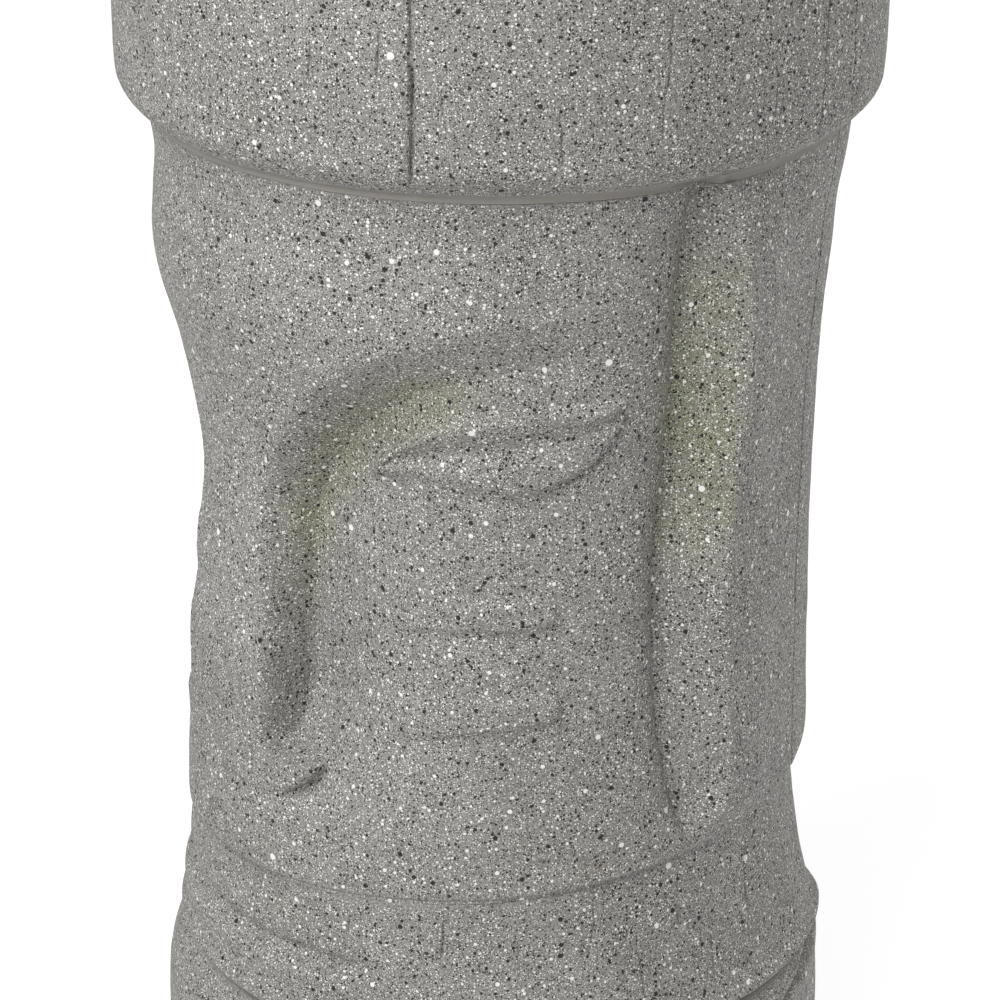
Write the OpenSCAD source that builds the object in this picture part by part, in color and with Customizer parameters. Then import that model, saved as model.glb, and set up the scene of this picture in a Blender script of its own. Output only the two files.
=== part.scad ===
// Tiki figure: a hollow garden column cast in lightweight concrete sections.
// Origin: centre of the underside. +Z up. The nose faces -Y.
// Angles round the figure are measured from the nose line, positive towards +X.
// "Drop" is a height measured downwards from the bed joint under the crown.

/* [Levels] */
// Height of the whole figure
total_h = 730; // [715:1:745]
// Height of the bed joint under the crown
crown_joint_z = 600; // [594:1:606]
// Height of the jaw bed joint on the centre line
jaw_joint_z = 238; // [234:1:242]
// Height of the bed joint on top of the base
base_joint_z = 143; // [136:1:150]
// Slope of the jaw bed joint, lower at the front
jaw_tilt = 6; // [4:0.5:8]

/* [Radii] */
// Largest radius of the crown
crown_r = 192; // [188:0.5:198]
// Largest radius of the base
base_r = 183.5; // [180:0.5:190]
// Radius of the neck band at its foot
band_r = 174; // [171:0.5:176]
// Radius of the cavity that runs up the inside
cavity_r = 138; // [130:1:139]

/* [Face] */
// Angle from the centre line that the nose's side wall runs down towards
nose_half = 10; // [9:0.5:13]
// Drop from the crown joint that the underside of the brow runs out towards
brow_drop = 55; // [51:1:60]
// Drop from the crown joint to the underside of the nose
nose_drop = 334; // [328:1:336]
// Radius of the recessed floor beside the nose
floor_r = 145; // [144.5:0.5:150]
// Angle of the groove in front of each ear
ear_angle = 91.5; // [90:0.5:93]
// Angle of the two seams that close the head's back shell
seam_angle = 128; // [124:1:134]

/* [Joints] */
// Thickness of the mortar beds under the crown and on the base
bed_t = 4; // [3:0.5:6]
// Thickness of the mortar bed under the jaw
jaw_bed_t = 2; // [1.5:0.5:4]
// Width of the head's seams, in degrees
seam_w = 1; // [0.8:0.1:1.4]
// Diameter of the dowels at the crown and the base
dowel_d = 10; // [8:1:12]
// Diameter of the dowels at the jaw
jaw_dowel_d = 8; // [6:1:8]
// Length of the dowels at the crown and the base
dowel_l = 80; // [60:2:90]
// Length of the dowels at the jaw
jaw_dowel_l = 60; // [50:2:64]

/* [Hidden] */

CONCRETE = [0.62, 0.61, 0.58];
BAND_CONCRETE = [0.57, 0.56, 0.53];
MORTAR = [0.42, 0.39, 0.34];
TAPE = [0.85, 0.84, 0.78];
STEEL = [0.72, 0.72, 0.74];

PIN_ANGLES = [45, 135, 225, 315];
PIN_PLAY = 0.1;
crown_pin_r = 154;
jaw_pin_r = 149.5;
base_pin_r = 153;

tape_t = 1.5;
tape_half_angle = 9;
crown_edge_r = 170;
base_edge_r = 164;
crown_roof_t = 30;
crown_chamber_r = 160;
base_chamber_r = 148;
joint_land_h = 45;
crown_bed_r = 171;
jaw_bed_r = 160.5;
base_bed_r = 166;
top_dish = 4;
mm_per_degree = 165 * PI / 180;
face_step = 3.2;
back_step = 6.5;
row_step = 9;
big = 500;

head_top_z = crown_joint_z - bed_t / 2;
crown_h = total_h - crown_joint_z - bed_t / 2;
base_h = base_joint_z - bed_t / 2;
$fn = 96;

// ---- Small helpers ----

function smooth(from, to, x) =
    let (t = min(1, max(0, (x - from) / (to - from))))
    t * t * (3 - 2 * t);
function mix(a, b, t) = a + (b - a) * t;
function plateau(x, half, soft) = 1 - smooth(half - soft, half + soft, abs(x));
function bell(x, width) = exp(-pow(x / width, 2));

// Distance, in mm on the unrolled surface, from a point to a short straight stroke
function stroke_distance(p, a, b) =
    let (
        ab = b - a,
        t = min(1, max(0, ((p - a) * ab) / (ab * ab)))
    )
    norm(p - a - t * ab);

// ---- The head's surface, as a radius for each angle and drop ----

// Forehead, nose ridge and chin along the centre line
FRONT_PROFILE = [
    [0, 173.5], [24, 173], [46, 175], [70, 176], [94, 173], [118, 167], [142, 162.5],
    [162, 159.5], [180, 158], [202, 160], [228, 162], [262, 165.5], [300, 168], [318, 170],
    [335, 170.5],
];
// Back of the head
BACK_PROFILE = [[0, 173], [12, 174], [24, 173], [46, 170], [70, 168], [135, 165], [250, 162], [345, 163]];
// Cheek, lip and jaw below the nose
JAW_PROFILE = [[300, 163], [322, 164], [345, 166.5], [368, 167.5], [385, 167.5]];

function outer_r(a, drop) =
    mix(lookup(drop, FRONT_PROFILE), lookup(drop, BACK_PROFILE), smooth(45, 105, a));

function recess_floor_r(a, drop) =
    mix(mix(floor_r, 163.5, smooth(24, 86, a)), lookup(drop, JAW_PROFILE), smooth(240, 345, drop));

// Positive inside the eye and cheek recess: one round-cornered boundary that
// follows the underside of the brow and turns down the side of the nose
function recess_depth(a, drop) =
    let (
        u = (a - nose_half) * mm_per_degree,
        v = drop - brow_drop,
        turn = 57
    )
    (u + v) / 2 - sqrt(pow((u - v) / 2, 2) + turn * turn);

function recess_mask(a, drop) =
    let (wall = mix(13.5, 11.5, smooth(95, 205, drop)))
    smooth(-wall, wall, recess_depth(a, drop)) * (1 - smooth(82, 90, a));

// Almond eye: a bulge between two lids, with a raised upper lid
EYE_INNER = [34, 149];
EYE_OUTER = [81, 103];
function eye_height(a, drop) =
    let (
        across = (a - EYE_INNER[0]) / (EYE_OUTER[0] - EYE_INNER[0]),
        chord = mix(EYE_INNER[1], EYE_OUTER[1], across),
        arch = sqrt(max(0, 1 - pow(2 * across - 1, 2))),
        upper = chord - 17 * arch,
        lower = chord + 29 * arch,
        inside = smooth(upper, upper + 8, drop) * (1 - smooth(lower - 8, lower, drop))
    )
    across <= 0 || across >= 1 ? 0 : 5 * inside * arch + 3 * bell(drop - upper, 5) * arch;

// Two raised cheek strokes that rise towards the ear
CHEEK_HALF = 11;
CHEEK_STROKES = [[[46, 220], [66, 212]], [[46, 272], [67, 265]]];
function on_surface(p) = [p[0] * mm_per_degree, p[1]];
function cheek_height(a, drop) =
    max([
        for (s = CHEEK_STROKES)
            5 * plateau(
                stroke_distance(on_surface([a, drop]), on_surface(s[0]), on_surface(s[1])), CHEEK_HALF, 4)
    ]);

// Long ear: a sharp groove along its front edge, then a ridge that falls off behind
function ear_lean(drop) = 4 * smooth(280, 350, drop);
function ear_height(a, drop) =
    let (
        from = a - ear_angle - ear_lean(drop),
        fade = 1 - smooth(335, 358, drop)
    )
    fade * (9 * smooth(0.5, 9, from) * (1 - smooth(14, 30, from)) - 6 * bell(from, 2));

function nose_wing(a, drop) = 5 * plateau(a - 17, 8, 4) * plateau(drop - 318, 14, 7);

function head_r(angle, drop) =
    let (
        a = abs(angle),
        above_lip = mix(outer_r(a, drop), recess_floor_r(a, drop), recess_mask(a, drop)),
        face = above_lip + nose_wing(a, drop),
        below_nose = smooth(nose_drop - 4, nose_drop + 4, drop) * (1 - smooth(82, 110, a)),
        skin = mix(face, lookup(drop, JAW_PROFILE), below_nose)
    )
    skin + eye_height(a, drop) + cheek_height(a, drop) + ear_height(a, drop);

// ---- Building the head's walls from that surface ----

// Height of the sloping jaw joint under a point at this angle and radius
function jaw_z(angle, r) = jaw_joint_z - r * cos(angle) * tan(jaw_tilt);

function at(angle, r, z) = [r * sin(angle), -r * cos(angle), z];

// Lower edge of the head's wall at this angle and radius, on top of the mortar
function wall_foot(angle, r) = jaw_z(angle, r) + jaw_bed_t / 2;

// Point on the skin, with t from 0 at the jaw to 1 at the crown
function skin_point(angle, t) =
    let (
        foot = wall_foot(angle, 166),
        z = mix(foot, head_top_z, t),
        edge_round = 5 * (1 - smooth(0, 10, z - foot)),
        r = head_r(angle > 180 ? 360 - angle : angle, crown_joint_z - z) - edge_round
    )
    at(angle, r, mix(wall_foot(angle, r), head_top_z, t));

// Upright wall of the head between two angles: modelled skin outside, plain cavity inside
module head_wall(from, to, step) {
    columns = ceil((to - from) / step);
    rows = ceil((head_top_z - jaw_joint_z) / row_step);
    angles = [for (i = [0 : columns]) mix(from, to, i / columns)];
    inner_r = cavity_r / cos((to - from) / columns / 2);
    width = columns + 1;
    skin = [for (j = [0 : rows], angle = angles) skin_point(angle, j / rows)];
    inner_foot = [for (angle = angles) at(angle, inner_r, wall_foot(angle, inner_r))];
    inner_top = [for (angle = angles) at(angle, inner_r, head_top_z)];
    foot = len(skin);
    top = foot + width;
    last = rows * width;
    faces = [
        for (i = [0 : columns - 1])
            each [
                for (j = [0 : rows - 1])
                    let (k = j * width + i)
                    each [[k, k + width, k + 1], [k + 1, k + width, k + width + 1]],
                [foot + i, foot + i + 1, top + i + 1],
                [foot + i, top + i + 1, top + i],
                [foot + i, i, i + 1],
                [foot + i, i + 1, foot + i + 1],
                [top + i, last + i + 1, last + i],
                [top + i, top + i + 1, last + i + 1],
            ]
    ];
    start_side = concat([foot, top], [for (j = [rows : -1 : 0]) j * width]);
    end_side = concat([top + columns, foot + columns], [for (j = [0 : rows]) j * width + columns]);
    polyhedron(concat(skin, inner_foot, inner_top), concat(faces, [start_side, end_side]));
}

// ---- Cutters and fixings ----

module cavity(r, low, high) {
    translate([0, 0, low]) cylinder(r = r, h = high - low);
}

// Upright pins on a circle, centred on a joint
module pins(circle_r, d, length, joint_z) {
    for (angle = PIN_ANGLES)
        rotate([0, 0, angle - 90])
            translate([circle_r, 0, joint_z - length / 2])
                cylinder(d = d, h = length, $fn = 32);
}

module crown_pins(play) {
    pins(crown_pin_r, dowel_d + play, dowel_l + play, crown_joint_z);
}

module jaw_pins(play) {
    pins(jaw_pin_r, jaw_dowel_d + play, jaw_dowel_l + play, jaw_joint_z);
}

module base_pins(play) {
    pins(base_pin_r, dowel_d + play, dowel_l + play, base_joint_z);
}

// Everything above the sloping jaw joint, shifted along the joint's normal
module above_jaw(shift) {
    translate([0, 0, jaw_joint_z])
        rotate([jaw_tilt, 0, 0])
            translate([-big / 2, -big / 2, shift])
                cube([big, big, big]);
}

// Everything below the sloping jaw joint, shifted the same way
module below_jaw(shift) {
    translate([0, 0, jaw_joint_z])
        rotate([jaw_tilt, 0, 0])
            translate([-big / 2, -big / 2, shift - big])
                cube([big, big, big]);
}

// Upright shrinkage crack: a thin wedge let into the skin
module crack(angle, low, high, skin_r, depth) {
    half_w = 1.6;
    rotate([0, 0, angle - 90])
        translate([skin_r, 0, low])
            linear_extrude(high - low)
                polygon([[-depth, 0], [4, -half_w], [4, half_w]]);
}

// Half outline of a drum with bulging sides: a superellipse on a straight core
function drum_side(low, high, edge_r, bulge_r, power) =
    [
        for (i = [0 : 24])
            let (t = -cos(180 * i / 24))
            [
                edge_r + (bulge_r - edge_r) * pow(max(0, 1 - pow(abs(t), power)), 1 / power),
                mix(low, high, (t + 1) / 2)
            ]
    ];

// ---- The cast sections ----

// Each crack: angle, lowest and highest point above the joint, depth
CROWN_CRACKS = [
    [48, 14, 100, 6], [69, 10, 52, 4], [16, 26, 60, 3], [112, 8, 90, 5],
    [168, 10, 86, 5], [208, 30, 112, 5], [232, 12, 70, 5], [294, 10, 108, 6], [346, 14, 100, 5],
];

module crown() {
    low = crown_joint_z + bed_t / 2;
    color(CONCRETE)
        difference() {
            rotate_extrude(convexity = 4)
                polygon(concat(
                    [[0, low]],
                    drum_side(low, total_h, crown_edge_r, crown_r, 4.5),
                    [[crown_edge_r - 30, total_h - top_dish], [0, total_h - top_dish]]
                ));
            cavity(cavity_r, low - 1, total_h - crown_roof_t);
            cavity(crown_chamber_r, low + joint_land_h, total_h - crown_roof_t);
            crown_pins(PIN_PLAY);
            for (c = CROWN_CRACKS)
                crack(c[0], crown_joint_z + c[1], crown_joint_z + c[2], crown_r - 2, c[3]);
        }
}

module face_shell() {
    color(CONCRETE)
        difference() {
            head_wall(-seam_angle, seam_angle, face_step);
            crown_pins(PIN_PLAY);
            jaw_pins(PIN_PLAY);
        }
}

module back_shell() {
    color(CONCRETE)
        difference() {
            head_wall(seam_angle + seam_w, 360 - seam_angle - seam_w, back_step);
            crown_pins(PIN_PLAY);
            jaw_pins(PIN_PLAY);
        }
}

BAND_CRACKS = [-57, -22, 49.5, 76, 94, 138, 163, 217, 248];

module neck_band() {
    low = base_joint_z + bed_t / 2;
    high = jaw_joint_z + 20;
    mouth_z = crown_joint_z - 419;
    mouth_half = 45;
    mouth_r = band_r - 4;
    color(BAND_CONCRETE)
        difference() {
            rotate_extrude(convexity = 4)
                polygon([
                    [cavity_r, low], [band_r - 4, low], [band_r, low + 5], [band_r - 3.5, low + 24],
                    [band_r - 8, low + 56], [band_r - 9, high], [cavity_r, high],
                ]);
            above_jaw(-jaw_bed_t / 2);
            jaw_pins(PIN_PLAY);
            base_pins(PIN_PLAY);
            rotate([0, 0, -90 - mouth_half])
                rotate_extrude(angle = 2 * mouth_half, convexity = 4)
                    polygon([[mouth_r - 4, mouth_z], [mouth_r + 6, mouth_z - 5], [mouth_r + 6, mouth_z + 5]]);
            for (angle = BAND_CRACKS)
                crack(angle, low + 30, jaw_joint_z - 20, band_r - 7, 4);
        }
}

module base() {
    color(CONCRETE)
        difference() {
            rotate_extrude(convexity = 4)
                polygon(concat(
                    [[0, 0]],
                    drum_side(0, base_h, base_edge_r, base_r, 3),
                    [[0, base_h]]
                ));
            cavity(cavity_r, -1, base_h + 1);
            cavity(base_chamber_r, -1, base_h - joint_land_h);
            base_pins(PIN_PLAY);
        }
}

// ---- Bedding, seams and fixings ----

module bed_ring(joint_z, outer) {
    translate([0, 0, joint_z - bed_t / 2])
        difference() {
            cylinder(r = outer, h = bed_t);
            translate([0, 0, -1]) cylinder(r = cavity_r, h = bed_t + 2);
        }
}

module crown_joint_mortar() {
    color(MORTAR)
        difference() {
            bed_ring(crown_joint_z, crown_bed_r);
            crown_pins(PIN_PLAY);
        }
}

module jaw_joint_mortar() {
    color(MORTAR)
        difference() {
            translate([0, 0, jaw_joint_z - 40])
                cylinder(r = jaw_bed_r, h = 80);
            cavity(cavity_r, jaw_joint_z - 60, jaw_joint_z + 60);
            above_jaw(jaw_bed_t / 2);
            below_jaw(-jaw_bed_t / 2);
            jaw_pins(PIN_PLAY);
        }
}

module base_joint_mortar() {
    color(MORTAR)
        difference() {
            bed_ring(base_joint_z, base_bed_r);
            base_pins(PIN_PLAY);
        }
}

// Upright strip of the head's height, between two radii and round a seam
module seam_strip(middle, half_angle, inner, outer) {
    intersection() {
        rotate([0, 0, middle - half_angle - 90])
            rotate_extrude(angle = 2 * half_angle, convexity = 4)
                translate([inner, jaw_joint_z - 40])
                    square([outer - inner, head_top_z - jaw_joint_z + 40]);
        above_jaw(jaw_bed_t / 2);
    }
}

module head_seam_mortar() {
    middle = seam_angle + seam_w / 2;
    color(MORTAR)
        for (side = [middle, 360 - middle])
            seam_strip(side, seam_w / 2, cavity_r, 161);
}

module head_seam_tape() {
    middle = seam_angle + seam_w / 2;
    color(TAPE)
        for (side = [middle, 360 - middle])
            seam_strip(side, tape_half_angle, cavity_r - tape_t, cavity_r);
}

module crown_dowels() {
    color(STEEL) crown_pins(0);
}

module jaw_dowels() {
    color(STEEL) jaw_pins(0);
}

module base_dowels() {
    color(STEEL) base_pins(0);
}

crown();
face_shell();
back_shell();
neck_band();
base();
crown_joint_mortar();
jaw_joint_mortar();
base_joint_mortar();
head_seam_mortar();
head_seam_tape();
crown_dowels();
jaw_dowels();
base_dowels();
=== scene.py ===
import math

import bpy
import numpy as np
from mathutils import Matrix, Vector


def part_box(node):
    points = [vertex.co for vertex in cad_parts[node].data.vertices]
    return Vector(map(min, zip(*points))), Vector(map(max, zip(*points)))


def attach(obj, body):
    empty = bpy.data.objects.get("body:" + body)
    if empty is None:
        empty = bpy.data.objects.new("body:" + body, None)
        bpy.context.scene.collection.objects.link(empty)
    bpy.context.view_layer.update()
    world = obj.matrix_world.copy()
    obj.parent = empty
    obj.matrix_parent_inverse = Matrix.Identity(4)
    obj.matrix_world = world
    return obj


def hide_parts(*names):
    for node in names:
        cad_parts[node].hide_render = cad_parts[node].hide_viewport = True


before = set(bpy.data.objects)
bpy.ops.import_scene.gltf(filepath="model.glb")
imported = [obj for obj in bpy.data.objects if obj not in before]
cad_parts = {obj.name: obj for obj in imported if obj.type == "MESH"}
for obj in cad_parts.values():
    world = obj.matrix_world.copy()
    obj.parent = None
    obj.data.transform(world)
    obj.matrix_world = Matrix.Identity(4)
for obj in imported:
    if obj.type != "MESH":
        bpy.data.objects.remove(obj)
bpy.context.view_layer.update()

# The figure is sculpted in millimetres as a radius for each angle round the column and each
# height. Angles are in degrees from the nose line, positive towards the figure's left (+X).
# "Drop" is the depth below the bed joint under the crown.

MM = 0.001
NOISE_SEED = 11


def node_box(name):
    low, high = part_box(name)
    return np.array(low) / MM, np.array(high) / MM


CROWN_LOW, CROWN_HIGH = node_box("crown")
BASE_HIGH = node_box("base")[1]

CROWN_FOOT_Z = CROWN_LOW[2]
CROWN_TOP_Z = CROWN_HIGH[2]
CROWN_R = CROWN_HIGH[0]
HEAD_TOP_Z = node_box("face_shell")[1][2]
JOINT_Z = (CROWN_FOOT_Z + HEAD_TOP_Z) / 2
BAND_FOOT_Z = node_box("neck_band")[0][2]
BASE_TOP_Z = BASE_HIGH[2]
BASE_R = BASE_HIGH[0]
CAVITY_R = 138.0
SKIN_R = 165.0
JAW_SKIN_R = 166.0
BAND_TOP_R = 162.0
SEAM_ANGLE = 128.0
SEAM_WIDTH = 1.0
JAW_MID_Z = 238.0
JAW_SLOPE = math.tan(math.radians(6.0))
JAW_BED = 2.0
DOWELS = {"crown_dowels": 10.0, "jaw_dowels": 8.0, "base_dowels": 10.0}
PIN_PLAY = 0.1
PIN_SIDES = 48


# ---------------------------------------------------------------- curves and noise

def smooth(start, stop, x):
    t = np.clip((x - start) / (stop - start), 0.0, 1.0)
    return t * t * (3 - 2 * t)


def mix(a, b, t):
    return a + (b - a) * t


def bell(x, width):
    return np.exp(-np.square(x / width))


def curve(knots, x):
    """Smooth curve through a few (x, y) points, level beyond both ends."""
    kx = np.array([k[0] for k in knots], float)
    ky = np.array([k[1] for k in knots], float)
    slope = np.gradient(ky, kx)
    x = np.clip(x, kx[0], kx[-1])
    i = np.clip(np.searchsorted(kx, x, side="right") - 1, 0, len(kx) - 2)
    h = kx[i + 1] - kx[i]
    t = (x - kx[i]) / h
    return (
        ky[i] * (1 + 2 * t) * (1 - t) ** 2
        + slope[i] * h * t * (1 - t) ** 2
        + ky[i + 1] * t * t * (3 - 2 * t)
        + slope[i + 1] * h * t * t * (t - 1)
    )


LATTICE_SIZE = 32
LATTICE = np.random.RandomState(NOISE_SEED).uniform(-1, 1, (LATTICE_SIZE,) * 3)


def noise(points, size, shift=0.0):
    """Smooth value noise from -1 to 1, whose lumps are about size millimetres across."""
    p = points / size + shift
    cell = np.floor(p).astype(int)
    f = p - cell
    f = f * f * (3 - 2 * f)
    total = 0.0
    for dx in (0, 1):
        for dy in (0, 1):
            for dz in (0, 1):
                weight = (
                    (f[..., 0] if dx else 1 - f[..., 0])
                    * (f[..., 1] if dy else 1 - f[..., 1])
                    * (f[..., 2] if dz else 1 - f[..., 2])
                )
                corner = LATTICE[
                    (cell[..., 0] + dx) % LATTICE_SIZE,
                    (cell[..., 1] + dy) % LATTICE_SIZE,
                    (cell[..., 2] + dz) % LATTICE_SIZE,
                ]
                total = total + weight * corner
    return total


def place(angle, radius, z):
    a = np.radians(angle)
    return np.stack([radius * np.sin(a), -radius * np.cos(a), z + 0 * a], axis=-1)


def cast_unevenness(angle, z, radius):
    """Slow waviness of a cast surface, with a little fine lumpiness."""
    p = place(angle, radius, z)
    return 0.7 * noise(p, 62.0) + 0.28 * noise(p, 21.0, 3.3) + 0.12 * noise(p, 7.0, 5.1)


# ---------------------------------------------------------------- cracks

def crack_offset(angle, z, crack):
    """Distance, in mm along the surface, from an upright crack's wandering line."""
    middle, low, high, lean, radius = crack[:5]
    along = np.stack([z * 0 + middle, z * 0, z], axis=-1)
    wander = 0.5 * noise(along, 19.0, middle) + 0.22 * noise(along, 6.0, middle + 4)
    line = middle + lean * (z - low) / (high - low) + wander
    turn = (angle - line + 180) % 360 - 180
    return np.radians(turn) * radius


def crack_depth(angle, z, crack):
    """How deep the crack is at each point, in mm, with ragged ends."""
    middle, low, high, _, _, depth, width = crack
    off = crack_offset(angle, z, crack)
    ends = smooth(low, low + 9, z) * (1 - smooth(high - 12, high, z))
    along = np.stack([z * 0, z * 0 + middle, z], axis=-1)
    ragged = 0.75 + 0.35 * noise(along, 8.0, middle)
    local = width * (0.8 + 0.4 * noise(along, 13.0, middle + 9))
    return depth * ends * ragged * np.exp(-np.abs(off / local) ** 1.6)


# Each crack: angle, lowest and highest z, lean in degrees, radius, depth and half width
def crown_cracks():
    z = JOINT_Z
    r = CROWN_R
    return [
        (47.6, z + 8, z + 74, 0.2, r, 4.6, 1.5),
        (47.7, z + 66, z + 126, 1.6, r, 3.6, 1.3),
        (43.5, z + 52, z + 92, 0.5, r, 1.6, 0.8),
        (52.0, z + 40, z + 66, 0.4, r, 1.2, 0.7),
        (16.0, z + 16, z + 40, -1.0, r, 1.8, 0.8),
        (33.0, z + 46, z + 82, 0.6, r, 1.2, 0.7),
        (69.0, z + 10, z + 52, -0.8, r, 1.5, 0.8),
        (83.0, z + 26, z + 92, 0.8, r, 1.5, 0.8),
        (102.0, z + 18, z + 62, -0.6, r, 1.7, 0.85),
        (112.0, z + 8, z + 96, 1.2, r, 2.2, 0.9),
        (121.0, z + 16, z + 80, -0.8, r, 1.6, 0.8),
        (-14.0, z + 12, z + 104, 1.4, r, 2.6, 0.9),
        (-41.0, z + 20, z + 60, -0.9, r, 1.6, 0.8),
        (-66.0, z + 8, z + 112, -1.5, r, 3.4, 1.05),
        (-97.0, z + 26, z + 84, 0.8, r, 1.7, 0.8),
        (-128.0, z + 10, z + 70, 1.0, r, 2.2, 0.9),
        (-152.0, z + 30, z + 118, -1.2, r, 2.8, 1.0),
        (168.0, z + 8, z + 88, 1.1, r, 2.4, 0.9),
        (146.0, z + 24, z + 66, -0.5, r, 1.5, 0.8),
    ]


def crack_columns(cracks):
    """Extra angles that give the mesh fine columns along each crack."""
    fine = np.arange(-1.5, 1.51, 0.14)
    return np.concatenate([c[0] + fine + c[3] * s for c in cracks for s in (0.0, 0.5, 1.0)])


# ---------------------------------------------------------------- the head's skin

FRONT_LINE = [(-4, 176), (4, 175.4), (12, 174.2), (24, 173.2), (46, 174.8), (70, 175.6), (94, 171.2),
              (118, 164.6), (142, 160.6), (162, 158.8), (180, 158.4), (202, 160.2), (219, 162.5),
              (244, 163.0), (262, 166.2), (300, 167.8), (318, 168.6), (336, 169.6)]
BACK_LINE = [(-4, 176), (4, 175.6), (12, 175), (24, 173.6), (46, 169.8), (70, 168.5), (135, 163.6),
             (250, 162.4), (300, 162.8), (345, 164)]
JAW_LINE = [(300, 163), (322, 164), (345, 166.5), (368, 167.5), (385, 167.5)]

# The recess beside the nose and under the brow lies between two lines, the rim where its wall
# begins and the foot where the wall ends. Both are (bearing, distance) from a point low on the
# cheek: bearing 0 looks back towards the nose, 90 looks up towards the brow.
CHEEK_ANGLE = 78.0
CHEEK_DROP = 332.0
WALL_RIM = [(0, 185), (8, 187), (15, 191), (21, 199), (31, 221), (39, 245.5), (50, 259), (60, 269),
            (70, 274), (80, 274), (90, 270.5)]
WALL_FOOT = [(0, 179), (8, 181), (19, 189.5), (31, 205.5), (41, 226.5), (48, 233.5), (58, 240.5),
             (72, 245.5), (90, 250.5)]
RECESS_R = 133.0
MM_PER_DEGREE = math.radians(SKIN_R)


def recess_depth(a, drop):
    """How far a point is down the recess's wall: 0 at the rim, 1 at the foot and more beyond."""
    across = (CHEEK_ANGLE - a) * MM_PER_DEGREE
    up = CHEEK_DROP - drop
    bearing = np.degrees(np.arctan2(up, across))
    rim = curve(WALL_RIM, bearing)
    foot = curve(WALL_FOOT, bearing)
    return (rim - np.hypot(across, up)) / (rim - foot)


def recess_mask(a, drop):
    """0 on the brow and nose, 1 in the sunk field: a rounded rim, a steep wall and a crisp foot."""
    t = np.clip(recess_depth(a, drop), 0, 1)
    return t ** 1.25 * (1 - smooth(62, 88, a))


EYE_TOP = [(33, 155), (37, 145), (40.5, 136), (45.8, 125), (54.3, 114.5), (64, 109.5), (74.5, 108.5),
           (83, 104.5)]
EYE_FOOT = [(33, 154), (41, 155), (50, 156), (60, 154.5), (70, 146), (78, 130), (83, 104)]


def eye_relief(a, drop):
    """An almond: a crisp upper edge, a shallow hollow, then a ball with a crisp lower edge."""
    top = curve(EYE_TOP, a)
    foot = curve(EYE_FOOT, a)
    below = drop - top
    tall = np.maximum(foot - top, 8.0)
    t = below / tall
    taper = smooth(33.5, 37, a) * (1 - smooth(79, 83.5, a))
    ridge = mix(6.4, 4.6, smooth(45, 70, a))
    lid = ridge * smooth(-2.6, 2.2, below) * (1 - smooth(0.06, 0.44, t))
    soft_foot = mix(0.55, 0.93, smooth(44, 70, a))
    rise = mix(0.22, 0.4, smooth(36, 50, a))
    ball = 4.4 * smooth(rise, rise + 0.28, t) * (1 - smooth(soft_foot, 1.04, t))
    ball = ball * (1 - 0.4 * smooth(66, 80, a))
    crease = -1.5 * bell(drop - foot - 2.0, 2.2) * smooth(58, 76, a)
    return taper * (lid + ball) + crease * (1 - smooth(80, 84, a))


CHEEK_STROKES = [((44.6, 222.4), (67.0, 212.6)), ((43.6, 278.6), (67.6, 264.6))]
CHEEK_HALF = 8.8


def cheek_relief(a, drop):
    """Two shallow strokes with round ends, crispest at the ear end and along the lower edge."""
    total = 0.0
    for (a0, d0), (a1, d1) in CHEEK_STROKES:
        ax, ay = (a - a0) * MM_PER_DEGREE, drop - d0
        bx, by = (a1 - a0) * MM_PER_DEGREE, d1 - d0
        t = np.clip((ax * bx + ay * by) / (bx * bx + by * by), 0, 1)
        dist = np.hypot(ax - t * bx, ay - t * by)
        waist = 0.9 * bell(t - 0.42, 0.12)
        body = 3.4 * (1 - smooth(CHEEK_HALF - 4.0 - waist, CHEEK_HALF + 1.6 - waist, dist))
        body = body + 0.9 * bell(dist - CHEEK_HALF + 3.5, 2.6) * smooth(0.5, 1.0, t)
        total = total + body * mix(0.75, 1.0, smooth(0.0, 0.5, t))
    return total


# Across each ear: the angle of the groove's bottom and of the ridge's crest at each drop
EAR_GROOVE = [(-4, 92.4), (15, 92.2), (44, 92), (73, 91.2), (114, 91.6), (155, 91), (196, 89.8),
              (239, 89.6), (284, 90.5), (326, 93.3), (351, 95.6)]
EAR_CREST = [(5, 95.8), (21, 98), (45, 100.6), (76, 101.9), (117, 102), (159, 100.8), (202, 99.8),
             (245, 101), (290, 102), (328, 101.5), (348, 98.8)]
EAR_TURN = 14.0
EAR_FOOT_DROP = 358.0


def ear_relief(a, drop):
    """A steep groove, a flat facet that rises out of it to a crest, and a fall behind the crest."""
    groove = curve(EAR_GROOVE, drop)
    crest = curve(EAR_CREST, drop)
    ends = smooth(-8, 6, drop) * (1 - smooth(EAR_FOOT_DROP - 24, EAR_FOOT_DROP, drop))
    sharp = 1 - smooth(150, 240, drop)
    t = np.clip((a - groove + EAR_TURN) / EAR_TURN, 0, 1)
    down = 0.35 * t ** 1.5 + 0.65 * t ** 6
    up = np.clip((a - groove) / (crest - groove), 0, 1) ** mix(1.0, 1.3, sharp)
    behind = 1 - smooth(0.0, 1.0, np.clip((a - crest - 0.6) / mix(24.0, 19.0, sharp), 0, 1))
    step = mix(0.6, 2.4, sharp) * smooth(0.4, 2.6, a - crest)
    deep = mix(9.0, 12.5, smooth(0, 30, drop)) * mix(1.0, 0.8, smooth(280, 320, drop))
    high = mix(6.0, 12.0, smooth(0, 30, drop)) * mix(1.0, 0.85, smooth(200, 260, drop))
    past = a > groove
    inner = -deep * down
    outer = np.where(a < crest + 0.6, mix(-deep, high, up), high) * behind - step * behind * (a > crest)
    return np.where(past, outer, inner) * ends


NOSE_DROP = 333.0


def nose_foot(a):
    """Drop of the underside of the nose, which runs up at the outer end of the wing."""
    return NOSE_DROP - 0.135 * np.maximum(a - 14, 0) ** 2


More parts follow.
